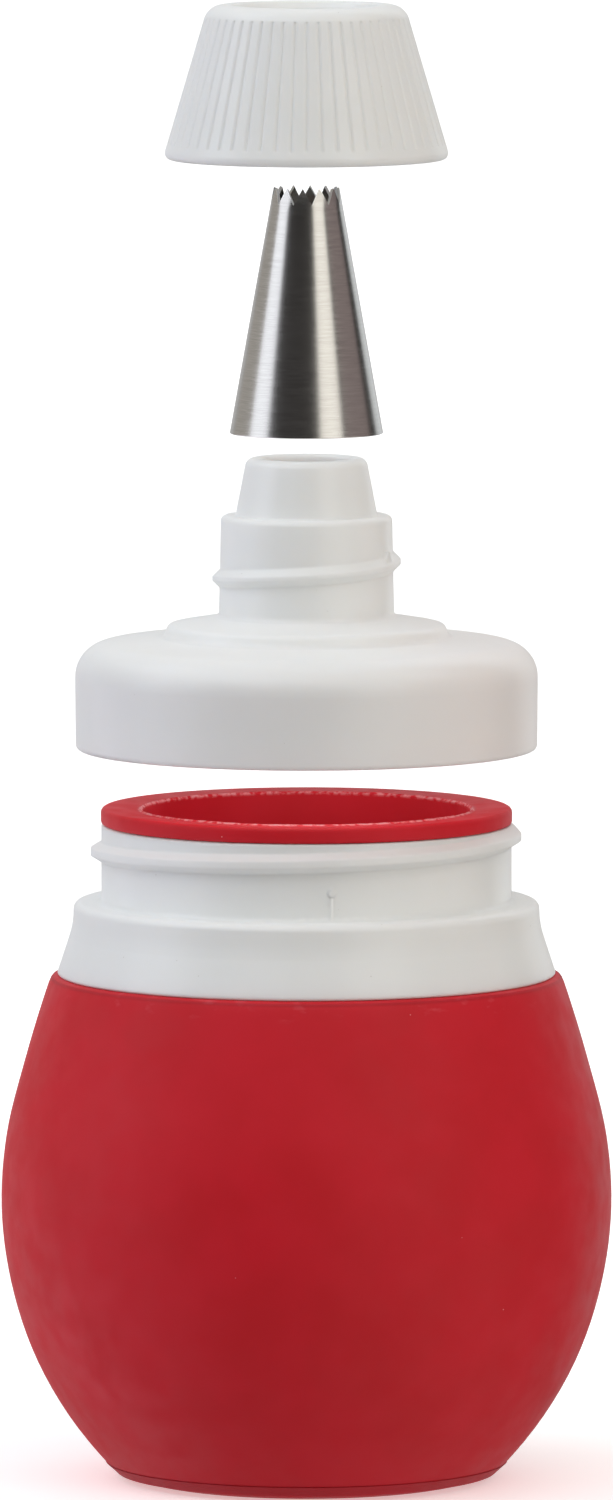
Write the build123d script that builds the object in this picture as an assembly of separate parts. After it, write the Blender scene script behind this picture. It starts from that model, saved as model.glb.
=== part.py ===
from build123d import *
import os
from math import cos, pi, radians, sin, tan

# A hand-squeezed dough and icing press, parted along its own axis.
# Millimetres, +Z up, origin at the centre of the bulb's flat base.
# Outlines are drawn as (radius, height) corners, each with its own rounding.

# --- squeeze bulb (silicone) ---
BELLY = [(22.4, 0.0), (26.9, 4.8), (33.0, 14.6), (36.2, 24.4), (37.3, 33.5),
         (36.7, 42.0), (34.4, 51.4), (31.35, 61.3)]
BASE_ROUNDING = 3.0
BULB_WALL = 2.4
CAVITY_START = 0.08
CAVITY_END = 0.93
CAVITY_STATIONS = 6
LEDGE_Z = 61.9
LEDGE_R = 30.9
LEDGE_ROUNDING = 0.5
NECK_R = 22.1
MOUTH_R = 20.0
LIP_R = 25.1
LIP_UNDER_Z = 80.4
LIP_TOP_Z = 82.4

# --- threaded collar (hard plastic ring on the silicone neck) ---
NECK_CLEARANCE = 0.1
SEAT_CLEARANCE = 0.05
COLLAR_FOOT_R = 30.5
COLLAR_SKIRT_R = 28.45
COLLAR_BARREL_R = 25.05
COLLAR_FLARE_Z = 68.2
COLLAR_SHOULDER_Z = 70.9
COLLAR_FLARE_ROUNDING = 10.0
GATE_NUB_R = 0.5
GATE_NUB_PROUD = 0.2
GATE_NUB_Z = 74.4
GATE_NUB_ANGLE = 277.0

# --- nozzle lid, heights from its own rim ---
LID_R = 28.25
LID_WALL = 1.35
LID_DEPTH = 10.9
LID_EDGE_Z = 12.7
LID_EDGE_ROUNDING = 4.2
LID_CROWN_Z = 13.75
DOME_R = 17.4
DOME_TOP_Z = 16.2
DOME_DROP = 0.95
STEM_FOOT_R = 10.7
STEM_R = 10.45
STEM_BORE_R = 8.4
STEM_TOP_Z = 28.6
NOZZLE_FOOT_R = 8.65
NOZZLE_TOP_R = 7.3
NOZZLE_TOP_Z = 35.6
NOZZLE_BORE_R = 5.6

# --- star tip, heights from its own rim ---
TIP_BASE_R = 9.35
TIP_MOUTH_R = 4.0
TIP_HEIGHT = 30.0
TIP_WALL = 0.4
TEETH = 12
TOOTH_HEIGHT = 2.0
TOOTH_FLAT = 0.12
TOOTH_TURN = -6.5

# --- retaining nut, heights from its own rim ---
NUT_RIM_R = 17.25
NUT_RIM_HEIGHT = 0.9
NUT_FLUTE_FOOT_R = 16.95
NUT_SLOPE = 0.295
NUT_HEIGHT = 18.8
NUT_TOP_ROUNDING = 2.4
NUT_BORE_R = 12.45
NUT_MOUTH_R = 15.3
NUT_BORE_FOOT_Z = 4.0
NUT_BORE_TOP_Z = 13.0
NUT_PLATE = 2.3
NUT_SINK_R = 8.9
NUT_SINK_DEPTH = 1.0
TIP_CLEARANCE = 0.12
FLUTES = 56
FLUTE_WIDTH = 0.46
FLUTE_DEPTH = 0.2
FLUTE_FOOT_Z = 1.9
FLUTE_TOP_Z = 17.3

# --- threads, all right-hand; middles are where the ridge passes the front ---
JAR_LEAD = 4.2
JAR_RIDGE_START = 75.0
JAR_RIDGE_END = 368.0
JAR_RIDGE_FRONT_Z = 78.05
JAR_RIDGE_CREST_R = 26.35
JAR_RIDGE_ROOT = 2.5
JAR_RIDGE_FLAT = 0.9
LID_RIDGE_CREST_R = 25.45
LID_RIDGE_START = 100.0
LID_RIDGE_END = 440.0
LID_RIDGE_ROOT = 1.3
LID_RIDGE_FLAT = 0.6
STEM_LEAD = 4.2
STEM_RIDGE_START = 60.0
STEM_RIDGE_END = 400.0
STEM_RIDGE_FRONT_Z = 21.9
STEM_RIDGE_CREST_R = 11.5
STEM_RIDGE_ROOT = 2.6
STEM_RIDGE_FLAT = 0.5
LEAD_IN_ANGLE = 334.0
LEAD_IN_WIDTH = 1.9
LEAD_IN_Z = 22.9
LEAD_IN_HEIGHT = 1.6
LEAD_IN_R = 11.2
NUT_RIDGE_CREST_R = 11.65
NUT_RIDGE_ROOT = 1.6
NUT_RIDGE_FLAT = 0.7
NUT_RIDGE_START = 60.0
NUT_RIDGE_END = 420.0
NUT_RIDGE_FRONT_Z = 7.4
RIDGE_BITE = 0.25
RAMP_ANGLE = 14.0
FRONT_ANGLE = 270.0

# --- how far each piece stands above its seat ---
LID_LIFT = 18.0
JAR_LEADS_UP = 4
TIP_LIFT = 9.95
NUT_LIFT = 45.5
SEAT_GAP = 0.05
NUT_RIM_GAP = 0.35

LID_SEATED_Z = LIP_TOP_Z + SEAT_GAP - LID_DEPTH
LID_Z = LID_SEATED_Z + LID_LIFT
TIP_Z = LID_Z + STEM_TOP_Z + SEAT_GAP + TIP_LIFT
NUT_Z = LID_Z + DOME_TOP_Z + NUT_RIM_GAP + TIP_LIFT + NUT_LIFT


def outline(*corners):
    """Closed half-section from (radius, height, rounding) corners."""
    points = [(r, z) for r, z, _ in corners]
    roundings = [rounding for _, _, rounding in corners]
    return make_face(FilletPolyline(*points, radius=roundings, close=True))


def turned(face):
    """Solid of revolution about Z of a half-section."""
    return revolve(Plane.XZ * face, Axis.Z)


def end_ramp(root_r, crest_r, angle, inward):
    """Block that slopes a ridge away to nothing towards one of its ends."""
    near = radians(angle)
    far = radians(angle + (RAMP_ANGLE if inward else -RAMP_ANGLE))
    foot = Vector(root_r * cos(near), root_r * sin(near), 0)
    top = Vector(crest_r * cos(far), crest_r * sin(far), 0)
    along = (foot - top).normalized()
    across = along.cross(Vector(0, 0, 1)).normalized()
    middle_direction = Vector(cos(near), sin(near), 0)
    if across.dot(middle_direction) * (crest_r - root_r) < 0:
        across = across * -1
    reach = 8 * abs(crest_r - root_r)
    depth = 4 * abs(crest_r - root_r)
    centre = (foot + top) * 0.5 + across * (depth / 2)
    return Plane(origin=centre, x_dir=along, z_dir=(0, 0, 1)) * Box(reach, depth, 8)


def thread_ridge(barrel_r, crest_r, root_width, flat_width, lead, start, end, front_z):
    """Right-hand ridge from one angle to another, on a barrel or, with a smaller crest, in a bore."""
    bite = RIDGE_BITE if crest_r > barrel_r else -RIDGE_BITE
    foot_r = barrel_r - bite
    slope = (root_width - flat_width) / (2 * (crest_r - barrel_r))
    foot_half = root_width / 2 + bite * slope
    section = make_face(Polyline((foot_r, -foot_half), (crest_r, -flat_width / 2),
                                 (crest_r, flat_width / 2), (foot_r, foot_half), close=True))
    length = end - start
    rise = lead * length / 360
    ridge = sweep(Plane.XZ * section, path=Helix(lead, rise, foot_r), is_frenet=True)
    ridge -= end_ramp(foot_r, crest_r, 0, True)
    ridge -= Pos(0, 0, rise) * end_ramp(foot_r, crest_r, length, False)
    start_z = front_z - lead * (FRONT_ANGLE - start) / 360
    return Pos(0, 0, start_z) * Rot(0, 0, start) * ridge


def inner_belly(belly):
    """The belly's curve moved inwards by the wall, from above the floor to below the ledge."""
    points = []
    for step in range(CAVITY_STATIONS + 1):
        place = CAVITY_START + (CAVITY_END - CAVITY_START) * step / CAVITY_STATIONS
        tangent = belly % place
        points.append((belly @ place) + Vector(-tangent.Y, tangent.X) * BULB_WALL)
    return Spline(*points)


def squeeze_bulb():
    belly = Spline(*BELLY)
    axis_top = (0, LEDGE_Z)
    body = make_face([Line((0, 0), belly @ 0), belly, Line(belly @ 1, (LEDGE_R, LEDGE_Z)),
                      Line((LEDGE_R, LEDGE_Z), axis_top), Line(axis_top, (0, 0))])
    body = fillet(body.vertices().sort_by_distance(BELLY[0])[0], BASE_ROUNDING)
    body = fillet(body.vertices().sort_by_distance((LEDGE_R, LEDGE_Z))[0], LEDGE_ROUNDING)
    hollow = inner_belly(belly)
    ceiling_z = LEDGE_Z - BULB_WALL
    shoulder = ((hollow @ 1).X - BULB_WALL / 2, ceiling_z)
    floor_edge = ((hollow @ 0).X - BULB_WALL / 2, BULB_WALL)
    cavity = make_face([Line((0, BULB_WALL), floor_edge), Line(floor_edge, hollow @ 0), hollow,
                        Line(hollow @ 1, shoulder), Line(shoulder, (0, ceiling_z)),
                        Line((0, ceiling_z), (0, BULB_WALL))])
    neck = outline((MOUTH_R, ceiling_z - 1, 0), (NECK_R, ceiling_z - 1, 0), (NECK_R, LIP_UNDER_Z, 0.25),
                   (LIP_R, LIP_UNDER_Z, 0.4), (LIP_R, LIP_TOP_Z, 0.6), (MOUTH_R, LIP_TOP_Z, 0.5))
    throat = Pos(MOUTH_R / 2, (ceiling_z + LIP_TOP_Z) / 2) * Rectangle(MOUTH_R, LIP_TOP_Z - ceiling_z + 2)
    return turned(body + neck - cavity - throat)


def collar_outline():
    bore_r = NECK_R + NECK_CLEARANCE
    foot_z = LEDGE_Z + SEAT_CLEARANCE
    top_z = LIP_UNDER_Z - SEAT_CLEARANCE
    return outline((bore_r, foot_z, 0.3), (COLLAR_FOOT_R, foot_z, 0.25),
                   (COLLAR_SKIRT_R, COLLAR_FLARE_Z, COLLAR_FLARE_ROUNDING),
                   (COLLAR_SKIRT_R, COLLAR_SHOULDER_Z, 0.9),
                   (COLLAR_BARREL_R, COLLAR_SHOULDER_Z, 0.5), (COLLAR_BARREL_R, top_z, 0.3),
                   (bore_r, top_z, 0.3))


def threaded_collar():
    ring = turned(collar_outline())
    ridge = thread_ridge(COLLAR_BARREL_R, JAR_RIDGE_CREST_R, JAR_RIDGE_ROOT, JAR_RIDGE_FLAT,
                         JAR_LEAD, JAR_RIDGE_START, JAR_RIDGE_END, JAR_RIDGE_FRONT_Z)
    barrel_top = Pos(0, 0, LIP_UNDER_Z - SEAT_CLEARANCE)
    ridge -= barrel_top * Cylinder(LIP_R + 3, 3, align=(Align.CENTER, Align.CENTER, Align.MIN))
    nub_place = Plane(origin=(NECK_R + 1, 0, GATE_NUB_Z), z_dir=(1, 0, 0))
    nub_length = COLLAR_BARREL_R + GATE_NUB_PROUD - NECK_R - 1
    nub = nub_place * Cylinder(GATE_NUB_R, nub_length, align=(Align.CENTER, Align.CENTER, Align.MIN))
    return ring + ridge + Rot(0, 0, GATE_NUB_ANGLE) * nub


def lid_outline():
    bore_r = LID_R - LID_WALL
    return outline((bore_r, 0, 0.3), (LID_R - 0.1, 0, 0.6),
                   (LID_R, LID_EDGE_Z, LID_EDGE_ROUNDING),
                   (DOME_R, LID_CROWN_Z, 0.8), (DOME_R - 0.5, DOME_TOP_Z - DOME_DROP, 0.8),
                   (STEM_FOOT_R, DOME_TOP_Z + 0.1, 0.7), (STEM_R, STEM_TOP_Z, 0.7),
                   (NOZZLE_FOOT_R, STEM_TOP_Z, 0.25), (NOZZLE_TOP_R, NOZZLE_TOP_Z, 1.1),
                   (NOZZLE_BORE_R, NOZZLE_TOP_Z, 0.5), (NOZZLE_BORE_R + 0.6, STEM_TOP_Z, 0.6),
                   (STEM_BORE_R, STEM_TOP_Z - 2.4, 0.8), (STEM_BORE_R, 15.2, 2.0),
                   (14.4, 13.5, 1.2), (18.0, LID_DEPTH, 1.2), (bore_r, LID_DEPTH, 2.4))


def nozzle_lid():
    body = turned(lid_outline())
    below_jar_ridge = JAR_RIDGE_FRONT_Z + JAR_LEAD * (JAR_LEADS_UP - 0.5) - LID_Z
    jar_ridge = thread_ridge(LID_R - LID_WALL, LID_RIDGE_CREST_R, LID_RIDGE_ROOT, LID_RIDGE_FLAT,
                             JAR_LEAD, LID_RIDGE_START, LID_RIDGE_END, below_jar_ridge)
    stem_ridge = thread_ridge(STEM_R, STEM_RIDGE_CREST_R, STEM_RIDGE_ROOT, STEM_RIDGE_FLAT,
                              STEM_LEAD, STEM_RIDGE_START, STEM_RIDGE_END, STEM_RIDGE_FRONT_Z)
    wedge = make_face(Polyline((-LEAD_IN_WIDTH / 2, LEAD_IN_Z), (LEAD_IN_WIDTH / 2, LEAD_IN_Z),
                               (0, LEAD_IN_Z + LEAD_IN_HEIGHT), close=True))
    lead_in = Pos(STEM_R - 1, 0, 0) * extrude(Plane.YZ * wedge, LEAD_IN_R - STEM_R + 1)
    lead_in = Rot(0, 0, LEAD_IN_ANGLE) * lead_in
    return Pos(0, 0, LID_Z) * (body + jar_ridge + stem_ridge + lead_in)


def star_tip():
    cone = turned(outline((TIP_BASE_R - TIP_WALL, 0, 0.1), (TIP_BASE_R, 0, 0.1),
                          (TIP_MOUTH_R, TIP_HEIGHT, 0), (TIP_MOUTH_R - TIP_WALL, TIP_HEIGHT, 0)))
    half_pitch = TIP_MOUTH_R * tan(pi / TEETH) - TOOTH_FLAT / 2
    over = 1.0
    half_over = half_pitch * (TOOTH_HEIGHT + over) / TOOTH_HEIGHT
    notch = make_face(Polyline((0, TIP_HEIGHT - TOOTH_HEIGHT), (half_over, TIP_HEIGHT + over),
                               (-half_over, TIP_HEIGHT + over), close=True))
    cutter = extrude(Plane.YZ * notch, 2 * TIP_MOUTH_R)
    first_notch = FRONT_ANGLE + TOOTH_TURN + 180 / TEETH
    for tooth in range(TEETH):
        cone -= Rot(0, 0, first_notch + tooth * 360 / TEETH) * cutter
    return Pos(0, 0, TIP_Z) * cone


def nut_outline():
    def flank(z):
        return NUT_FLUTE_FOOT_R - NUT_SLOPE * (z - FLUTE_FOOT_Z)

    tip_slope = (TIP_BASE_R - TIP_MOUTH_R) / TIP_HEIGHT
    tip_foot_z = STEM_TOP_Z + SEAT_GAP - DOME_TOP_Z - NUT_RIM_GAP
    plate_z = NUT_HEIGHT - NUT_PLATE
    sink_z = NUT_HEIGHT - NUT_SINK_DEPTH

    def seat(z):
        return TIP_BASE_R - tip_slope * (z - tip_foot_z) + TIP_CLEARANCE

    return outline((NUT_MOUTH_R, 0, 0.4), (NUT_RIM_R - 0.1, 0, 0.7), (NUT_RIM_R, NUT_RIM_HEIGHT, 0.9),
                   (NUT_FLUTE_FOOT_R, FLUTE_FOOT_Z, 0.3), (flank(NUT_HEIGHT), NUT_HEIGHT, NUT_TOP_ROUNDING),
                   (NUT_SINK_R, NUT_HEIGHT, 0.35), (seat(sink_z), sink_z, 0.3), (seat(plate_z), plate_z, 0.2),
                   (NUT_BORE_R - 1.6, plate_z, 0.6), (NUT_BORE_R, NUT_BORE_TOP_Z, 1.0),
                   (NUT_BORE_R, NUT_BORE_FOOT_Z, 0.8))


def retaining_nut():
    cone = turned(nut_outline())
    length = (FLUTE_TOP_Z - FLUTE_FOOT_Z) * (1 + NUT_SLOPE ** 2) ** 0.5
    start = Vector(NUT_FLUTE_FOOT_R, 0, FLUTE_FOOT_Z)
    uphill = Vector(-NUT_SLOPE, 0, 1).normalized()
    over = FLUTE_WIDTH
    half = FLUTE_WIDTH / 2 * (1 + over / FLUTE_DEPTH)
    groove = make_face(Polyline((-FLUTE_DEPTH, 0), (over, half), (over, -half), close=True))
    cutter = extrude(Plane(origin=start, x_dir=(1, 0, NUT_SLOPE), z_dir=uphill) * groove, length)
    cone -= [Rot(0, 0, flute * 360 / FLUTES) * cutter for flute in range(FLUTES)]
    ridge = thread_ridge(NUT_BORE_R, NUT_RIDGE_CREST_R, NUT_RIDGE_ROOT, NUT_RIDGE_FLAT,
                         STEM_LEAD, NUT_RIDGE_START, NUT_RIDGE_END, NUT_RIDGE_FRONT_Z)
    return Pos(0, 0, NUT_Z) * (cone + ridge)


PIECES = {
    "squeeze_bulb": squeeze_bulb,
    "threaded_collar": threaded_collar,
    "nozzle_lid": nozzle_lid,
    "star_tip": star_tip,
    "retaining_nut": retaining_nut,
}

os.makedirs("parts", exist_ok=True)
for name, make in PIECES.items():
    piece = make()
    export_step(piece, f"parts/{name}.step")
    print(name, "solids", len(piece.solids()), "volume", round(piece.volume, 1))
print("lid", LID_Z, "tip", TIP_Z, "nut", NUT_Z)
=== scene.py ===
import logging
import math
from dataclasses import dataclass, field, replace
from enum import Enum

import bmesh
import bpy
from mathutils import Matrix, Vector, geometry, noise


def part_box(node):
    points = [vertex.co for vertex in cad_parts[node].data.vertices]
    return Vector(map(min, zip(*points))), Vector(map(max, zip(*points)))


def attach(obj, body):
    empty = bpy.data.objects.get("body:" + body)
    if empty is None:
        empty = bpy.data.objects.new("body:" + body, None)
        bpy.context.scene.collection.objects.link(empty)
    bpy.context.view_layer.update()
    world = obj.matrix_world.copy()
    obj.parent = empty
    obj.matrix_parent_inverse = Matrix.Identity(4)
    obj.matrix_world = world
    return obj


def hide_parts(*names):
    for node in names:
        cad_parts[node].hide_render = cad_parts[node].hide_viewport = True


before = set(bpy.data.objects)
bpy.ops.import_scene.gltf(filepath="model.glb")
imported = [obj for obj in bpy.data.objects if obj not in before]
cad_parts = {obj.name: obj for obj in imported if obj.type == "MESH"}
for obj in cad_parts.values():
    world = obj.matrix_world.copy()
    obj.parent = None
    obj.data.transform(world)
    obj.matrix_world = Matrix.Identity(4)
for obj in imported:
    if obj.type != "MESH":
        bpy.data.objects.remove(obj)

# Looks of a hand-squeezed dough and icing press: its finishes, its silicone bulb, and the studio.
# Sizes of the pieces are in millimetres from the middle of the bulb's base, +Z up; Blender works in metres.

MM = 0.001
LOG = logging.getLogger("press")
WHITE = (1.0, 1.0, 1.0)
CLOUD_LOW = 0.3
CLOUD_HIGH = 0.7
DOUBLES_REACH = 0.001
END_SLOPE = 1.5

Colour = tuple[float, float, float]
Triple = tuple[float, float, float]
Place = tuple[float, float]
Socket = bpy.types.NodeSocket


class Slot(Enum):
    """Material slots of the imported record."""

    SILICONE = "silicone"
    COLLAR = "collar_plastic"
    LID = "lid_plastic"
    TIP = "tip_steel"
    NUT = "nut_plastic"


class Node(Enum):
    """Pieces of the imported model."""

    BULB = "squeeze_bulb"
    COLLAR = "threaded_collar"
    LID = "nozzle_lid"
    TIP = "star_tip"
    NUT = "retaining_nut"


class Body(Enum):
    """Bodies that the pieces move with."""

    BULB = "bulb"
    COLLAR = "collar"


# ---------------------------------------------------------------- node benches


class NodeBench:
    """Adds and links the nodes of one shader tree."""

    def __init__(self, tree: bpy.types.NodeTree) -> None:
        """Starts with an empty tree."""
        self.tree = tree
        tree.nodes.clear()

    def add(self, kind: str, **settings: object) -> bpy.types.Node:
        """Adds a node.

        Args:
            kind: The node's type name.
            settings: Properties to set on it.

        Returns:
            The new node.
        """
        node = self.tree.nodes.new(kind)
        for name, value in settings.items():
            setattr(node, name, value)
        return node

    def feed(self, socket: Socket, value: object) -> None:
        """Links a socket to an input, or sets the input's own value.

        Args:
            socket: The input.
            value: An output to link, or a number, a vector or a colour.
        """
        if isinstance(value, bpy.types.NodeSocket):
            self.tree.links.new(value, socket)
        elif isinstance(value, tuple) and socket.type == "RGBA":
            socket.default_value = (*value[:3], 1.0)
        else:
            socket.default_value = value

    def maths(self, operation: str, first: object, second: object = 0.0) -> Socket:
        """One arithmetic step.

        Args:
            operation: The Math node's operation.
            first: Its first number or socket.
            second: Its second number or socket.

        Returns:
            The result.
        """
        node = self.add("ShaderNodeMath", operation=operation)
        self.feed(node.inputs[0], first)
        self.feed(node.inputs[1], second)
        return node.outputs[0]

    def product(self, *factors: object) -> Socket:
        """Several masks or numbers multiplied together.

        Args:
            factors: The numbers or sockets, the first of them a socket.

        Returns:
            Their product.
        """
        result = factors[0]
        for factor in factors[1:]:
            result = self.maths("MULTIPLY", result, factor)
        return result

    def ramp(self, value: Socket, low: float, high: float, to_low: float = 0.0,
             to_high: float = 1.0) -> Socket:
        """Smooth step of a value from one range to another.

        Args:
            value: What is mapped.
            low: Input that gives to_low.
            high: Input that gives to_high.
            to_low: Output at low.
            to_high: Output at high.

        Returns:
            The mapped value.
        """
        node = self.add("ShaderNodeMapRange", interpolation_type="SMOOTHSTEP")
        for socket, number in zip(node.inputs[:5], (value, low, high, to_low, to_high)):
            self.feed(socket, number)
        return node.outputs[0]

    def mix(self, share: object, first: object, second: object) -> Socket:
        """Mixes two colours.

        Args:
            share: Share of the second colour, from 0 to 1.
            first: Colour or socket shown at 0.
            second: Colour or socket shown at 1.

        Returns:
            The mixed colour.
        """
        node = self.add("ShaderNodeMix", data_type="RGBA")
        self.feed(node.inputs[0], share)
        self.feed(node.inputs[6], first)
        self.feed(node.inputs[7], second)
        return node.outputs[2]


class FinishBench(NodeBench):
    """Node bench of a material, with the textures that its finishes share."""

    edge_samples: int = 4
    edge_start: float = 0.995
    edge_full: float = 0.86
    soften_samples: int = 6
    speck_core: float = 0.5

    def __init__(self, name: str) -> None:
        """Makes a material with one Principled shader, read in Object coordinates."""
        self.material = bpy.data.materials.new(name)
        self.material.use_nodes = True
        super().__init__(self.material.node_tree)
        self.shader = self.add("ShaderNodeBsdfPrincipled")
        output = self.add("ShaderNodeOutputMaterial")
        self.tree.links.new(self.shader.outputs[0], output.inputs[0])
        self.place = self.add("ShaderNodeTexCoord").outputs["Object"]

    def set(self, name: str, value: object) -> None:
        """Sets or links one of the shader's inputs by its name."""
        self.feed(self.shader.inputs[name], value)

    def stretched(self, stretch: Triple) -> Socket:
        """Object coordinates scaled along X, Y and Z."""
        node = self.add("ShaderNodeMapping", vector_type="POINT")
        self.feed(node.inputs["Vector"], self.place)
        node.inputs["Scale"].default_value = stretch
        return node.outputs[0]

    def cloud(self, size: float, detail: float = 3.0, stretch: Triple = (1.0, 1.0, 1.0)) -> Socket:
        """Soft noise.

        Args:
            size: Width of its lumps in millimetres.
            detail: Octaves of finer lumps.
            stretch: Squeeze of the pattern along X, Y and Z.

        Returns:
            A value about 0.5.
        """
        node = self.add("ShaderNodeTexNoise")
        self.feed(node.inputs["Vector"], self.stretched(stretch))
        node.inputs["Scale"].default_value = 1.0 / (size * MM)
        node.inputs["Detail"].default_value = detail
        return node.outputs[0]

    def spread(self, cloud: Socket, middle: float = 0.5, width: float = 1.0) -> Socket:
        """Soft noise spread over a range of values.

        Args:
            cloud: The noise.
            middle: Middle of the range.
            width: Width of the range.

        Returns:
            A value from the low to the high end of the range.
        """
        return self.ramp(cloud, CLOUD_LOW, CLOUD_HIGH, middle - width / 2, middle + width / 2)

    def specks(self, pitch: float, radius: float, share: float) -> Socket:
        """Small round specks, scattered unevenly.

        Args:
            pitch: Spacing of the cells that may hold one, in millimetres.
            radius: Radius of a speck in millimetres.
            share: Share of the cells that hold one.

        Returns:
            A mask, 1 on a speck.
        """
        node = self.add("ShaderNodeTexVoronoi")
        self.feed(node.inputs["Vector"], self.place)
        node.inputs["Scale"].default_value = 1.0 / (pitch * MM)
        dot = self.ramp(node.outputs["Distance"], radius / pitch, self.speck_core * radius / pitch)
        chance = self.add("ShaderNodeSeparateColor")
        self.feed(chance.inputs[0], node.outputs["Color"])
        return self.maths("MULTIPLY", dot, self.maths("GREATER_THAN", chance.outputs[0], 1.0 - share))

    def height(self) -> Socket:
        """Height above the base in millimetres."""
        return self.maths("DIVIDE", self.axes()[2], MM)

    def axes(self) -> bpy.types.bpy_prop_collection:
        """X, Y and Z of the object coordinates, in metres."""
        node = self.add("ShaderNodeSeparateXYZ")
        self.feed(node.inputs[0], self.place)
        return node.outputs

    def edges(self, radius: float) -> Socket:
        """Mask of the sharp edges, where a rounded normal leaves the true one.

        Args:
            radius: Reach of the mask from an edge, in millimetres.

        Returns:
            A mask, 1 at an edge.
        """
        rounded = self.add("ShaderNodeBevel", samples=self.edge_samples)
        rounded.inputs["Radius"].default_value = radius * MM
        flat = self.add("ShaderNodeNewGeometry")
        product = self.add("ShaderNodeVectorMath", operation="DOT_PRODUCT")
        self.feed(product.inputs[0], rounded.outputs[0])
        self.feed(product.inputs[1], flat.outputs["Normal"])
        return self.ramp(product.outputs["Value"], self.edge_start, self.edge_full)

    def bump(self, layers: list[tuple[Socket, float]], soften: float = 0.0) -> None:
        """Stacks bump layers and links them to the shader.

        Args:
            layers: Height patterns, each with the height in millimetres that it spans.
            soften: Radius in millimetres to which the light rounds every edge.
        """
        below: Socket | None = None
        if soften:
            rounded = self.add("ShaderNodeBevel", samples=self.soften_samples)
            rounded.inputs["Radius"].default_value = soften * MM
            below = rounded.outputs[0]
        for pattern, tall in layers:
            node = self.add("ShaderNodeBump")
            node.inputs["Strength"].default_value = 1.0
            node.inputs["Distance"].default_value = tall * MM
            self.feed(node.inputs["Height"], pattern)
            if below is not None:
                self.feed(node.inputs["Normal"], below)
            below = node.outputs[0]
        if below is not None:
            self.set("Normal", below)


# -------------------------------------------------------------------- finishes


@dataclass(frozen=True)
class MouldedPlastic:
    """Satin white polypropylene, faintly mottled, with the odd dark fleck and fine scuffs.

    Sizes are in millimetres. The warm tint that grows towards the right is a painted warm reflection.
    """

    pale: Colour = (0.890, 0.905, 0.896)
    dull: Colour = (0.876, 0.892, 0.883)
    mottle_size: float = 9.0
    # Painted warm reflection: colour, share and reach of the warm tint on the right side.
    warm_reflection: Colour = (0.93, 0.85, 0.82)
    warm_reflection_share: float = 0.0
    warm_reflection_from: float = 4.0
    warm_reflection_to: float = 24.0
    fleck: Colour = (0.52, 0.50, 0.46)
    fleck_pitch: float = 1.3
    fleck_radius: float = 0.10
    fleck_cells: float = 0.05
    fleck_share: float = 0.55
    worn: Colour = (0.94, 0.945, 0.94)
    worn_reach: float = 0.25
    worn_share: float = 0.35
    roughness: float = 0.31
    roughness_spread: float = 0.04
    smear_size: float = 5.0
    smear_stretch: Triple = (1.0, 1.0, 0.45)
    index: float = 1.49
    subsurface: float = 0.5
    subsurface_radius: Triple = (1.0, 0.93, 0.86)
    subsurface_depth: float = 2.2
    ripple_size: float = 8.0
    ripple_height: float = 0.022
    scuff_size: float = 0.5
    scuff_stretch: Triple = (0.3, 0.3, 1.0)
    scuff_height: float = 0.0005
    soften: float = 0.45

    def material(self, name: str) -> bpy.types.Material:
        """Builds the finish.

        Args:
            name: The material's name.

        Returns:
            The material.
        """
        bench = FinishBench(name)
        colour = bench.mix(bench.spread(bench.cloud(self.mottle_size, detail=2.0)), self.dull, self.pale)
        # Painted warm reflection: a warm tint that grows towards the right side, where the warm light falls.
        if self.warm_reflection_share:
            across = bench.axes()[0]
            side = bench.ramp(across, self.warm_reflection_from * MM, self.warm_reflection_to * MM, 0.0, self.warm_reflection_share)
            colour = bench.mix(side, colour, self.warm_reflection)
        flecks = bench.specks(self.fleck_pitch, self.fleck_radius, self.fleck_cells)
        colour = bench.mix(bench.product(flecks, self.fleck_share), colour, self.fleck)
        worn = bench.product(bench.edges(self.worn_reach), self.worn_share)
        bench.set("Base Color", bench.mix(worn, colour, self.worn))
        smears = bench.cloud(self.smear_size, detail=2.0, stretch=self.smear_stretch)
        bench.set("Roughness", bench.spread(smears, self.roughness, self.roughness_spread))
        bench.set("IOR", self.index)
        bench.set("Subsurface Weight", self.subsurface)
        bench.set("Subsurface Radius", self.subsurface_radius)
        bench.set("Subsurface Scale", self.subsurface_depth * MM)
        ripples = bench.cloud(self.ripple_size, detail=1.0)
        scuffs = bench.cloud(self.scuff_size, detail=2.0, stretch=self.scuff_stretch)
        bench.bump([(ripples, self.ripple_height), (scuffs, self.scuff_height)], soften=self.soften)
        return bench.material


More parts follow.
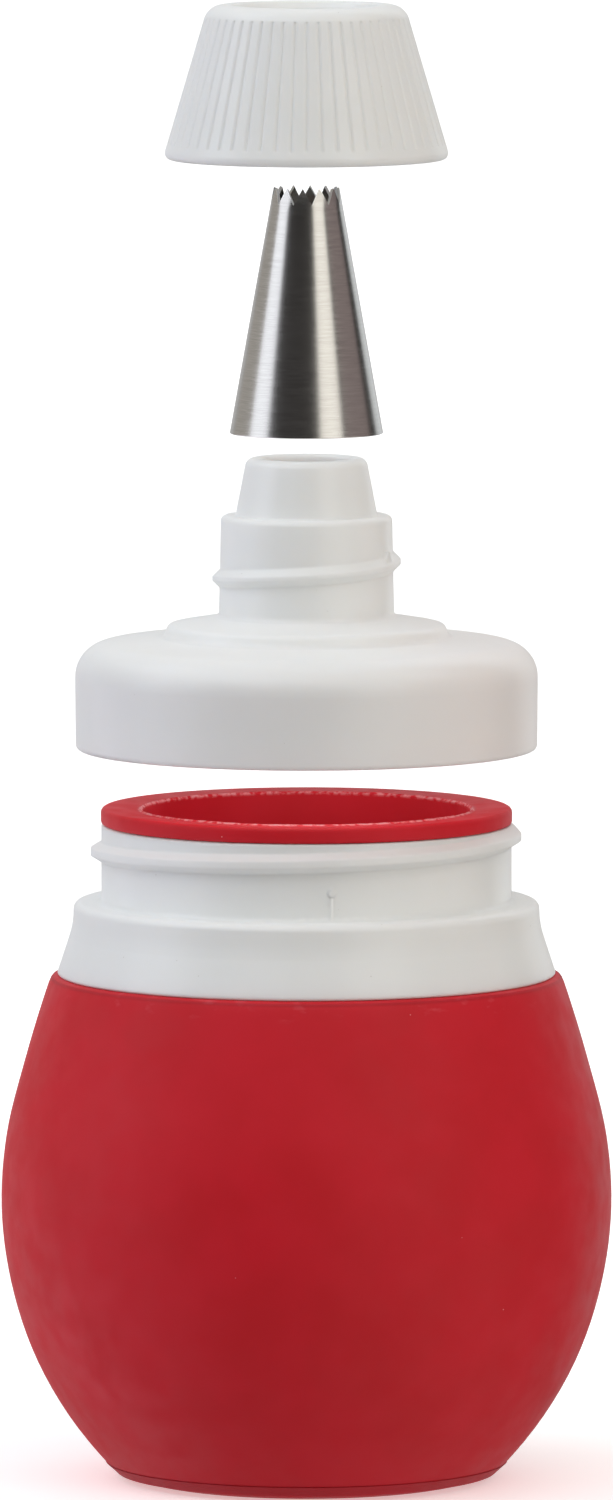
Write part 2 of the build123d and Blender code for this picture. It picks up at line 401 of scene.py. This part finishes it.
@dataclass(frozen=True)
class SoftSilicone:
    """Matt red silicone, a little dusty, with pale scuffs on the ledge under the collar and a painted
    highlight along the torn flash on the mouth's crest.

    Sizes and heights are in millimetres.
    """

    deep: Colour = (0.505, 0.0095, 0.0175)
    clear: Colour = (0.545, 0.0110, 0.0220)
    mottle_size: float = 9.0
    chalk: Colour = (0.74, 0.16, 0.19)
    chalk_share: float = 0.22
    ledge_low: float = 58.6
    ledge_high: float = 61.3
    ledge_rise: float = 1.2
    rub_size: float = 2.6
    rub_stretch: Triple = (1.0, 1.0, 2.2)
    rub_start: float = 0.56
    rub_full: float = 0.74
    # Colour of the dust specks, and of the painted highlight on the mouth's flash.
    dust_and_highlight: Colour = (0.85, 0.52, 0.54)
    grain_pitch: float = 1.7
    grain_radius: float = 0.11
    grain_cells: float = 0.035
    grain_share: float = 0.65
    edge_grain_pitch: float = 0.9
    edge_grain_radius: float = 0.08
    edge_grain_cells: float = 0.10
    # Strength of the painted highlight on the flash.
    flash_highlight_share: float = 0.42
    flash_low: float = 81.75
    flash_rise: float = 0.4
    flash_radius: float = 20.25
    flash_reach: float = 0.45
    flash_core: float = 0.3
    tear_size: float = 0.7
    tear_start: float = 0.36
    tear_full: float = 0.62
    roughness: float = 0.55
    roughness_spread: float = 0.12
    smear_size: float = 4.0
    scuff_roughness: float = 0.12
    index: float = 1.41
    gloss: float = 0.25
    subsurface: float = 0.25
    subsurface_radius: Triple = (1.0, 0.10, 0.08)
    subsurface_depth: float = 1.8
    sheen: float = 0.02
    sheen_roughness: float = 0.45
    sheen_tint: Colour = (1.0, 0.86, 0.92)
    wave_size: float = 14.0
    wave_height: float = 0.03
    pore_size: float = 0.55
    pore_height: float = 0.004
    tooth_size: float = 0.14
    tooth_height: float = 0.0020

    def material(self, name: str) -> bpy.types.Material:
        """Builds the finish.

        Args:
            name: The material's name.

        Returns:
            The material.
        """
        bench = FinishBench(name)
        colour = bench.mix(bench.spread(bench.cloud(self.mottle_size, detail=5.0)), self.deep, self.clear)
        ledge = self.ledge(bench)
        rubbed = bench.cloud(self.rub_size, detail=6.0, stretch=self.rub_stretch)
        scuffs = bench.product(ledge, bench.ramp(rubbed, self.rub_start, self.rub_full))
        colour = bench.mix(bench.product(scuffs, self.chalk_share), colour, self.chalk)
        grains = bench.specks(self.grain_pitch, self.grain_radius, self.grain_cells)
        edge_grains = bench.specks(self.edge_grain_pitch, self.edge_grain_radius, self.edge_grain_cells)
        dusty = bench.maths("MAXIMUM", bench.product(grains, self.grain_share),
                            bench.product(edge_grains, ledge))
        colour = bench.mix(dusty, colour, self.dust_and_highlight)
        # Painted highlight: the pale colour laid along the torn flash on the mouth's crest.
        torn = bench.product(self.flash_highlight(bench), self.flash_highlight_share)
        bench.set("Base Color", bench.mix(torn, colour, self.dust_and_highlight))
        rough = bench.spread(bench.cloud(self.smear_size, detail=4.0), self.roughness, self.roughness_spread)
        bench.set("Roughness", bench.maths("ADD", rough, bench.product(scuffs, self.scuff_roughness)))
        bench.set("IOR", self.index)
        bench.set("Specular IOR Level", self.gloss)
        bench.set("Subsurface Weight", self.subsurface)
        bench.set("Subsurface Radius", self.subsurface_radius)
        bench.set("Subsurface Scale", self.subsurface_depth * MM)
        bench.set("Sheen Weight", self.sheen)
        bench.set("Sheen Roughness", self.sheen_roughness)
        bench.set("Sheen Tint", self.sheen_tint)
        bench.bump([(bench.cloud(self.wave_size, detail=1.0), self.wave_height),
                    (bench.cloud(self.pore_size, detail=3.0), self.pore_height),
                    (bench.cloud(self.tooth_size, detail=2.0), self.tooth_height)])
        return bench.material

    def ledge(self, bench: FinishBench) -> Socket:
        """Mask of the ledge under the collar.

        Args:
            bench: The finish's node bench.

        Returns:
            A mask, 1 at the ledge.
        """
        height = bench.height()
        below = bench.maths("LESS_THAN", height, self.ledge_high + self.ledge_rise)
        return bench.product(bench.ramp(height, self.ledge_low, self.ledge_high), below)

    def flash_highlight(self, bench: FinishBench) -> Socket:
        """Mask of the painted highlight along the torn flash on the crest of the mouth.

        Args:
            bench: The finish's node bench.

        Returns:
            A mask, 1 on the flash.
        """
        x, y, _ = bench.axes()
        squares = bench.maths("ADD", bench.product(x, x), bench.product(y, y))
        radius = bench.maths("DIVIDE", bench.maths("SQRT", squares), MM)
        off = bench.maths("ABSOLUTE", bench.maths("SUBTRACT", radius, self.flash_radius))
        ring = bench.ramp(off, self.flash_reach, self.flash_core * self.flash_reach)
        crest = bench.ramp(bench.height(), self.flash_low, self.flash_low + self.flash_rise)
        torn = bench.ramp(bench.cloud(self.tear_size, detail=3.0), self.tear_start, self.tear_full)
        return bench.product(torn, ring, crest)


@dataclass(frozen=True)
class SpunSteel:
    """Stainless sheet brushed around the cone, with fine scratches and a few pits.

    Sizes are in millimetres.
    """

    bright: Colour = (0.52, 0.51, 0.495)
    dark: Colour = (0.45, 0.44, 0.425)
    brush_size: float = 2.4
    brush_stretch: Triple = (1.0, 1.0, 22.0)
    brush_height: float = 0.0008
    stroke_size: float = 5.0
    stroke_stretch: Triple = (1.0, 1.0, 60.0)
    stroke_height: float = 0.0006
    line_start: float = 0.35
    line_full: float = 0.65
    cut: Colour = (0.86, 0.86, 0.85)
    cut_reach: float = 0.12
    pit_pitch: float = 1.6
    pit_radius: float = 0.07
    pit_cells: float = 0.06
    pit_share: float = 0.8
    roughness: float = 0.20
    roughness_spread: float = 0.05
    anisotropy: float = 0.5

    def material(self, name: str) -> bpy.types.Material:
        """Builds the finish.

        Args:
            name: The material's name.

        Returns:
            The material.
        """
        bench = FinishBench(name)
        brushing = bench.cloud(self.brush_size, detail=5.0, stretch=self.brush_stretch)
        strokes = bench.cloud(self.stroke_size, detail=3.0, stretch=self.stroke_stretch)
        middle = bench.maths("DIVIDE", bench.maths("ADD", brushing, strokes), 2.0)
        colour = bench.mix(bench.ramp(middle, self.line_start, self.line_full), self.dark, self.bright)
        pits = bench.specks(self.pit_pitch, self.pit_radius, self.pit_cells)
        colour = bench.mix(bench.product(pits, self.pit_share), colour, self.cut)
        bench.set("Base Color", bench.mix(bench.edges(self.cut_reach), colour, self.cut))
        bench.set("Metallic", 1.0)
        bench.set("Roughness", bench.spread(brushing, self.roughness, self.roughness_spread))
        bench.set("Anisotropic", self.anisotropy)
        bench.set("Tangent", bench.add("ShaderNodeTangent", direction_type="RADIAL", axis="Z").outputs[0])
        bench.bump([(brushing, self.brush_height), (strokes, self.stroke_height)])
        return bench.material


# ------------------------------------------------------------------ mesh steps


def clear_selection() -> None:
    """Deselects every object."""
    for item in bpy.context.selected_objects:
        item.select_set(False)


def open_ring(name: str, radius: float, height: float, segments: int) -> bpy.types.Object:
    """Starts a turned piece as an open ring, left in edit mode with the ring selected.

    Args:
        name: The piece's name.
        radius: The ring's radius in millimetres.
        height: The ring's height in millimetres.
        segments: Corners of the ring.

    Returns:
        The new object.
    """
    clear_selection()
    bpy.ops.mesh.primitive_circle_add(vertices=segments, radius=radius * MM, location=(0, 0, height * MM))
    piece = bpy.context.object
    piece.name = piece.data.name = name
    bpy.ops.object.transform_apply(location=True, rotation=True, scale=True)
    bpy.ops.object.mode_set(mode="EDIT")
    bpy.ops.mesh.select_mode(type="EDGE")
    bpy.ops.mesh.select_all(action="SELECT")
    return piece


def draw_ring(start: Place, end: Place) -> None:
    """Extrudes the selected ring to another radius and height.

    Args:
        start: The ring's radius and height in millimetres.
        end: The new ring's radius and height in millimetres.
    """
    bpy.ops.mesh.extrude_edges_indiv()
    bpy.ops.transform.translate(value=(0, 0, (end[1] - start[1]) * MM))
    widen = end[0] / start[0]
    bpy.ops.transform.resize(value=(widen, widen, 1.0), center_override=(0, 0, 0))


def close_ring() -> None:
    """Closes the selected ring with a fan to its middle."""
    bpy.ops.mesh.extrude_edges_indiv()
    bpy.ops.mesh.merge(type="CENTER")


def pick_ring(piece: bpy.types.Object, radius: float, height: float, reach: float = 0.01) -> None:
    """Selects the edges that run around the axis at one place.

    Args:
        piece: The piece in edit mode.
        radius: Radius of the ring in millimetres.
        height: Height of the ring in millimetres.
        reach: How far off an edge may be, in millimetres.
    """
    bpy.ops.mesh.select_all(action="DESELECT")
    mesh = bmesh.from_edit_mesh(piece.data)
    for edge in mesh.edges:
        spots = [(vertex.co.xy.length / MM - radius, vertex.co.z / MM - height) for vertex in edge.verts]
        edge.select = all(math.hypot(*spot) < reach for spot in spots)
    bmesh.update_edit_mesh(piece.data)


def round_ring(piece: bpy.types.Object, place: Place, rounding: float, steps: int) -> None:
    """Bevels the ring of edges at a corner of the outline.

    Args:
        piece: The piece in edit mode.
        place: Radius and height of the corner in millimetres.
        rounding: Width of the bevel in millimetres.
        steps: Segments of the bevel.
    """
    pick_ring(piece, *place)
    bpy.ops.mesh.bevel(offset=rounding * MM, segments=steps, affect="EDGES")


def finish_shell(piece: bpy.types.Object, sharp: float = 40.0) -> None:
    """Merges doubles, turns the faces outwards and shades the piece.

    Args:
        piece: The piece in edit mode.
        sharp: Angle in degrees past which an edge stays sharp.
    """
    bpy.ops.mesh.select_all(action="SELECT")
    bpy.ops.mesh.remove_doubles(threshold=DOUBLES_REACH * MM)
    bpy.ops.mesh.normals_make_consistent(inside=False)
    bpy.ops.object.mode_set(mode="OBJECT")
    clear_selection()
    piece.select_set(True)
    bpy.context.view_layer.objects.active = piece
    bpy.ops.object.shade_smooth_by_angle(angle=math.radians(sharp))


def smooth_run(points: list[Place], steps: int) -> list[Place]:
    """Smooth curve through points, with tangents from each point's neighbours.

    Args:
        points: Radius and height of each point in millimetres.
        steps: Places on each stretch between two points.

    Returns:
        Radius and height of each place along the curve.
    """
    knots = [Vector((r, z)) for r, z in points]
    chords = [(b - a).length for a, b in zip(knots, knots[1:])]
    slopes = [(b - a) / chord for a, b, chord in zip(knots, knots[1:], chords)]
    tangents = [slopes[0] * END_SLOPE - slopes[1] * (END_SLOPE - 1)]
    for before, after, short, long in zip(slopes, slopes[1:], chords, chords[1:]):
        tangents.append((before * long + after * short) / (short + long))
    tangents.append(slopes[-1] * END_SLOPE - slopes[-2] * (END_SLOPE - 1))
    run: list[Place] = []
    for index, chord in enumerate(chords):
        handle = chord / 3
        stretch = geometry.interpolate_bezier(
            knots[index].to_3d(), (knots[index] + tangents[index] * handle).to_3d(),
            (knots[index + 1] - tangents[index + 1] * handle).to_3d(), knots[index + 1].to_3d(), steps + 1)
        run += [(spot.x, spot.y) for spot in stretch[:-1]]
    return run + [points[-1]]


def moved_inwards(run: list[Place], wall: float) -> list[Place]:
    """A rising curve moved towards the axis.

    Args:
        run: Radius and height of each place.
        wall: How far it moves, square to the curve.

    Returns:
        Radius and height of each moved place.
    """
    moved = []
    for before, here, after in zip(run, run[1:], run[2:]):
        along = (Vector(after) - Vector(before)).normalized()
        moved.append((here[0] - along.y * wall, here[1] + along.x * wall))
    return moved


# ---------------------------------------------------------------- sub-assemblies


@dataclass
class SqueezeBulb:
    """Silicone bulb: a round belly, a ledge, a neck for the collar and a folded-out lip.

    Sizes and heights are in millimetres. The belly's places are radius and height.
    """

    belly: list[Place] = field(default_factory=lambda: [
        (22.4, 0.0), (26.9, 4.8), (33.0, 14.6), (36.2, 24.4), (37.3, 33.5), (36.7, 42.0), (34.4, 51.4),
        (31.35, 61.3)])
    belly_steps: int = 6
    segments: int = 224
    base_steps: int = 6
    corner_steps: int = 4
    small_steps: int = 3
    wall: float = 2.4
    base_rounding: float = 3.0
    belly_top_rounding: float = 0.5
    ledge_radius: float = 30.9
    ledge_height: float = 61.9
    ledge_rounding: float = 0.6
    neck_radius: float = 22.1
    mouth_radius: float = 20.0
    throat_rounding: float = 0.8
    hollow_corner: float = 1.4
    lip_radius: float = 25.1
    lip_thickness: float = 2.0
    lip_under_rounding: float = 0.4
    lip_rounding: float = 0.6
    lip_dish: float = 0.28
    dish_run: float = 0.6
    bead_width: float = 0.5
    bead_drop: float = 0.35
    flash_height: float = 0.16
    flash_inset: float = 0.25
    flash_reach: float = 0.05
    tears_per_mm: float = 0.9
    patches_per_mm: float = 0.11
    tear_gain: float = 1.6
    finish: SoftSilicone = SoftSilicone()

    def outline(self, lip_top: float) -> list[Place]:
        """Half-section from the foot of the belly, over the lip and down to the inner floor.

        Args:
            lip_top: Height of the lip's top in millimetres.

        Returns:
            Radius and height of each corner and each place along the curves.
        """
        outer = smooth_run(self.belly, self.belly_steps)
        lowest = self.wall * 2
        highest = self.ledge_height - self.wall * 1.5
        inner = [spot for spot in moved_inwards(outer, self.wall) if lowest < spot[1] < highest]
        lip_under = lip_top - self.lip_thickness
        dish = lip_top - self.lip_dish
        bead_foot = self.mouth_radius + self.bead_width
        ceiling = self.ledge_height - self.wall
        return [
            *outer, (self.ledge_radius, self.ledge_height), (self.neck_radius, self.ledge_height),
            (self.neck_radius, lip_under), (self.lip_radius, lip_under), (self.lip_radius, lip_top),
            (bead_foot + self.dish_run, dish), (bead_foot, dish), self.flash_crest(lip_top),
            (self.mouth_radius, lip_top - self.bead_drop), (self.mouth_radius, ceiling),
            (inner[-1][0] - self.hollow_corner, ceiling), *reversed(inner),
            (inner[0][0] - self.hollow_corner, self.wall)]

    def flash_crest(self, lip_top: float) -> Place:
        """Radius and height of the untorn flash around the mouth.

        Args:
            lip_top: Height of the lip's top in millimetres.

        Returns:
            The crest's place in the half-section.
        """
        return self.mouth_radius + self.flash_inset, lip_top - self.flash_height

    def build(self) -> bpy.types.Object:
        """Models the bulb in place of the plain one.

        Returns:
            The finished piece.
        """
        lip_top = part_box(Node.BULB.value)[1].z / MM
        path = self.outline(lip_top)
        piece = open_ring("silicone_bulb", *path[0], self.segments)
        for start, end in zip(path, path[1:]):
            draw_ring(start, end)
        close_ring()
        pick_ring(piece, *path[0])
        close_ring()
        for place, rounding, steps in (
                (self.belly[0], self.base_rounding, self.base_steps),
                (self.belly[-1], self.belly_top_rounding, self.small_steps),
                ((self.ledge_radius, self.ledge_height), self.ledge_rounding, self.corner_steps),
                ((self.lip_radius, lip_top - self.lip_thickness), self.lip_under_rounding, self.small_steps),
                ((self.lip_radius, lip_top), self.lip_rounding, self.corner_steps),
                ((self.mouth_radius, self.ledge_height - self.wall), self.throat_rounding, self.small_steps)):
            round_ring(piece, place, rounding, steps)
        finish_shell(piece)
        self.roughen_flash(piece, lip_top)
        piece.data.materials.append(self.finish.material("red_silicone"))
        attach(piece, Body.BULB.value)
        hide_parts(Node.BULB.value)
        return piece

    def roughen_flash(self, piece: bpy.types.Object, lip_top: float) -> None:
        """Tears the thin moulding flash around the mouth unevenly.

        Args:
            piece: The bulb.
            lip_top: Height of the lip's top in millimetres.
        """
        crest_radius, crest_height = self.flash_crest(lip_top)
        for vertex in piece.data.vertices:
            off = math.hypot(vertex.co.xy.length / MM - crest_radius, vertex.co.z / MM - crest_height)
            if off < self.flash_reach:
                torn = (1 + noise.noise(vertex.co * (self.tears_per_mm / MM))) / 2
                patch = (1 + noise.noise(vertex.co * (self.patches_per_mm / MM))) / 2
                vertex.co.z += self.flash_height * MM * min(1.0, self.tear_gain * torn * patch)


@dataclass
class ThreadedCollar:
    """Threaded ring on the bulb's neck, with the witness line below its gate.

    Sizes and heights are in millimetres, and the line's angle runs from +X in degrees.
    """

    finish: MouldedPlastic = MouldedPlastic()
    line_angle: float = 277.0
    line_width: float = 0.34
    line_proud: float = 0.035
    line_bevel: float = 0.4
    line_foot: float = 70.95
    line_top: float = 74.2
    barrel_radius: float = 25.05

    def build(self) -> bpy.types.Object:
        """Dresses the collar and adds the witness line.

        Returns:
            The witness line.
        """
        dress(Node.COLLAR, self.finish.material("collar_polypropylene"))
        clear_selection()
        centre = (self.barrel_radius * MM, 0, (self.line_foot + self.line_top) / 2 * MM)
        bpy.ops.mesh.primitive_cube_add(size=MM, location=centre)
        line = bpy.context.object
        line.name = line.data.name = "collar_witness_line"
        bpy.ops.object.transform_apply(location=True, rotation=True, scale=True)
        bpy.ops.object.mode_set(mode="EDIT")
        bpy.ops.mesh.select_all(action="SELECT")
        size = (2 * self.line_proud, self.line_width, self.line_top - self.line_foot)
        bpy.ops.transform.resize(value=size, center_override=centre)
        bpy.ops.mesh.bevel(offset=self.line_bevel * self.line_proud * MM, segments=2, affect="EDGES")
        bpy.ops.mesh.select_all(action="SELECT")
        turn = -math.radians(self.line_angle)
        bpy.ops.transform.rotate(value=turn, orient_axis="Z", center_override=(0, 0, 0))
        finish_shell(line)
        solid = replace(self.finish, subsurface=0.0, soften=0.0)
        line.data.materials.append(solid.material("witness_polypropylene"))
        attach(line, Body.COLLAR.value)
        return line


@dataclass
class NozzleLid:
    """Screw-on lid with its threaded stem and nozzle."""

    # The lid carries the painted warm reflection on its right side.
    finish: MouldedPlastic = MouldedPlastic(warm_reflection_share=0.55)

    def build(self) -> None:
        """Dresses the lid."""
        dress(Node.LID, self.finish.material("lid_polypropylene"))


@dataclass
class StarTip:
    """Open star piping tip of thin stainless sheet."""

    finish: SpunSteel = SpunSteel()

    def build(self) -> None:
        """Dresses the tip, which is lit as if it hung alone and throws no shade on the nozzle."""
        dress(Node.TIP, self.finish.material("spun_stainless_steel"))
        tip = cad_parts[Node.TIP.value]
        tip.visible_shadow = tip.visible_diffuse = False


@dataclass
class RetainingNut:
    """Fluted nut that holds the tip on the stem."""

    finish: MouldedPlastic = MouldedPlastic()

    def build(self) -> None:
        """Dresses the nut."""
        dress(Node.NUT, self.finish.material("nut_polypropylene"))


def dress(node: Node, material: bpy.types.Material) -> None:
    """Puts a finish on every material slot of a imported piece.

    Args:
        node: The piece.
        material: Its finish.
    """
    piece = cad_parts[node.value]
    if not piece.material_slots:
        piece.data.materials.append(material)
    for slot in piece.material_slots:
        slot.material = material


# ----------------------------------------------------------------------- studio


@dataclass(frozen=True)
class SoftBox:
    """Soft window of light far from the press, in degrees.

    Azimuth 0 is in front and 90 is at the press's right. Low and high are angles above the horizon.
    """

    azimuth: float
    half_width: float
    low: float
    high: float
    colour: Colour
    strength: float
    side_blur: float = 5.0
    end_blur: float = 14.0

    def mask(self, bench: NodeBench, direction: Socket, elevation: Socket) -> Socket:
        """Mask of the window over the sky.

        Args:
            bench: The sky's node bench.
            direction: Where a ray of light points.
            elevation: The ray's angle above the horizon in degrees.

        Returns:
            A value, 1 inside the window.
        """
        turned = bench.add("ShaderNodeVectorRotate", rotation_type="Z_AXIS")
        bench.feed(turned.inputs["Vector"], direction)
        turned.inputs["Angle"].default_value = -math.radians(self.azimuth)
        split = bench.add("ShaderNodeSeparateXYZ")
        bench.feed(split.inputs[0], turned.outputs[0])
        front = bench.maths("MULTIPLY", split.outputs[1], -1.0)
        angle = bench.maths("DEGREES", bench.maths("ARCTAN2", split.outputs[0], front))
        side = bench.ramp(bench.maths("ABSOLUTE", angle), self.half_width + self.side_blur / 2,
                          self.half_width - self.side_blur / 2)
        foot = bench.ramp(elevation, self.low - self.end_blur / 2, self.low + self.end_blur / 2)
        top = bench.ramp(elevation, self.high + self.end_blur / 2, self.high - self.end_blur / 2)
        return bench.product(side, foot, top)


@dataclass(frozen=True)
class FillLamp:
    """Round area lamp that lights one piece alone. Lengths are in millimetres, the power in watts."""

    name: str
    place: Triple
    aim: Triple
    size: float
    power: float


@dataclass
class Studio:
    """Camera, pale floor, soft windows of light all around the press, and two lamps on the bulb alone.

    Heights, the lens and the sensor are in millimetres, angles in degrees, and the floor's radius in metres.
    """

    elevation: float = 5.6
    aim_height: float = 89.37
    frame_height: float = 183.0
    lens: float = 400.0
    sensor: float = 36.0
    nearest: float = 0.05
    farthest: float = 100.0
    floor_radius: float = 30.0
    floor_corners: int = 96
    floor_pale: Colour = (0.9, 0.9, 0.9)
    floor_dull: Colour = (0.882, 0.882, 0.882)
    floor_patch: float = 60.0
    floor_roughness: float = 0.8
    floor_glow: float = 0.42
    room: Colour = (0.055, 0.052, 0.050)
    ground: Colour = (0.55, 0.545, 0.54)
    ground_start: float = -8.0
    ground_full: float = -40.0
    windows: list[SoftBox] = field(default_factory=lambda: [
        SoftBox(-79.5, 18.0, -60.0, 40.0, (0.95, 0.98, 1.05), 1.9),
        SoftBox(39.0, 18.0, -60.0, 40.0, (1.03, 1.0, 0.93), 1.70, 4.0),
        SoftBox(-120.0, 24.0, -40.0, 40.0, (1.0, 0.95, 0.88), 0.55, 6.0),
        SoftBox(88.0, 24.0, -40.0, 40.0, (1.0, 0.82, 0.80), 0.36, 8.0),
        SoftBox(155.0, 24.0, -20.0, 64.0, (0.96, 1.0, 1.02), 1.0, 10.0),
        SoftBox(-172.0, 28.0, -20.0, 64.0, (1.0, 1.0, 1.0), 0.65, 10.0),
        SoftBox(-70.0, 62.0, 34.0, 64.0, (0.95, 0.99, 1.05), 1.75, 20.0),
        SoftBox(45.0, 52.0, 34.0, 64.0, (1.03, 0.98, 0.92), 1.50, 20.0),
        SoftBox(-90.0, 42.0, -60.0, -6.0, (0.99, 0.94, 1.06), 1.75, 12.0),
        SoftBox(55.0, 42.0, -60.0, -6.0, (1.05, 0.98, 0.92), 1.25, 12.0),
        SoftBox(0.0, 181.0, 64.0, 130.0, (1.0, 1.0, 1.0), 0.72, 0.1, 16.0),
    ])
    fills: tuple[FillLamp, ...] = (
        FillLamp("top_fill", (0.0, -210.0, 520.0), (0.0, 0.0, 0.0), 260.0, 0.32),
        FillLamp("mouth_fill", (0.0, -14.0, 104.0), (0.0, 15.0, 80.0), 26.0, 0.010),
    )

    def camera(self) -> None:
        """Sets a long lens a little above the horizon, in front of the press."""
        data = bpy.data.cameras.new("camera")
        data.lens = self.lens
        data.sensor_width = self.sensor
        distance = self.frame_height * MM * self.lens / self.sensor
        data.clip_start = distance * self.nearest
        data.clip_end = distance * self.farthest
        tilt = math.radians(self.elevation)
        away = Vector((0, -math.cos(tilt), math.sin(tilt)))
        camera = bpy.data.objects.new("camera", data)
        camera.location = Vector((0, 0, self.aim_height * MM)) + away * distance
        camera.rotation_euler = (-away).to_track_quat("-Z", "Y").to_euler()
        bpy.context.scene.collection.objects.link(camera)
        bpy.context.scene.camera = camera

    def floor(self) -> None:
        """Lays the pale floor, which throws no light back on the press."""
        clear_selection()
        bpy.ops.mesh.primitive_circle_add(vertices=self.floor_corners, radius=self.floor_radius,
                                          fill_type="NGON")
        floor = bpy.context.object
        floor.name = "floor"
        bench = FinishBench("pale_floor")
        patch = bench.spread(bench.cloud(self.floor_patch, detail=3.0))
        bench.set("Base Color", bench.mix(patch, self.floor_pale, self.floor_dull))
        bench.set("Roughness", self.floor_roughness)
        bench.set("Emission Color", WHITE)
        bench.set("Emission Strength", self.floor_glow)
        floor.data.materials.append(bench.material)
        floor.visible_diffuse = False
        floor.visible_glossy = False

    def sky(self) -> None:
        """Builds the windows around the press. The camera sees plain white in their place."""
        world = bpy.data.worlds.new("studio")
        world.use_nodes = True
        bpy.context.scene.world = world
        bench = NodeBench(world.node_tree)
        direction = bench.add("ShaderNodeTexCoord").outputs["Generated"]
        split = bench.add("ShaderNodeSeparateXYZ")
        bench.feed(split.inputs[0], direction)
        elevation = bench.maths("DEGREES", bench.maths("ARCSINE", split.outputs[2]))
        below = bench.ramp(elevation, self.ground_start, self.ground_full)
        colour = bench.mix(below, self.room, self.ground)
        for window in self.windows:
            light = tuple(channel * window.strength for channel in window.colour)
            colour = bench.mix(window.mask(bench, direction, elevation), colour, light)
        studio = bench.add("ShaderNodeBackground")
        bench.feed(studio.inputs[0], colour)
        plain = bench.add("ShaderNodeBackground")
        bench.feed(plain.inputs[0], WHITE)
        chosen = bench.add("ShaderNodeMixShader")
        bench.feed(chosen.inputs[0], bench.add("ShaderNodeLightPath").outputs["Is Camera Ray"])
        bench.feed(chosen.inputs[1], studio.outputs[0])
        bench.feed(chosen.inputs[2], plain.outputs[0])
        output = bench.add("ShaderNodeOutputWorld")
        bench.feed(output.inputs[0], chosen.outputs[0])

    def fill(self, piece: bpy.types.Object) -> None:
        """Lights one piece with the fill lamps, past whatever hangs over it.

        Args:
            piece: The piece that the lamps light and that may shade them.
        """
        only = bpy.data.collections.new("under_the_fill")
        only.objects.link(piece)
        for spec in self.fills:
            data = bpy.data.lights.new(spec.name, "AREA")
            data.shape = "DISK"
            data.size = spec.size * MM
            data.energy = spec.power
            lamp = bpy.data.objects.new(spec.name, data)
            lamp.location = Vector(spec.place) * MM
            ray = Vector(spec.place) - Vector(spec.aim)
            lamp.rotation_euler = ray.to_track_quat("Z", "Y").to_euler()
            lamp.visible_camera = False
            bpy.context.scene.collection.objects.link(lamp)
            lamp.light_linking.receiver_collection = only
            lamp.light_linking.blocker_collection = only

    def build(self) -> None:
        """Sets up the camera, the floor, the sky and the plain colour view."""
        self.camera()
        self.floor()
        self.sky()
        bpy.context.scene.view_settings.view_transform = "Standard"


def main() -> None:
    """Builds and dresses the press and its studio."""
    logging.basicConfig(level=logging.INFO, format="%(name)s: %(message)s")
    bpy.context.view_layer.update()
    studio = Studio()
    studio.build()
    bulb = SqueezeBulb().build()
    studio.fill(bulb)
    line = ThreadedCollar().build()
    NozzleLid().build()
    StarTip().build()
    RetainingNut().build()
    for piece in (bulb, line, *(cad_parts[node.value] for node in Node if node is not Node.BULB)):
        LOG.info("%s: %d faces, %s", piece.name, len(piece.data.polygons), piece.data.materials[0].name)


if __name__ == "__main__":
    main()
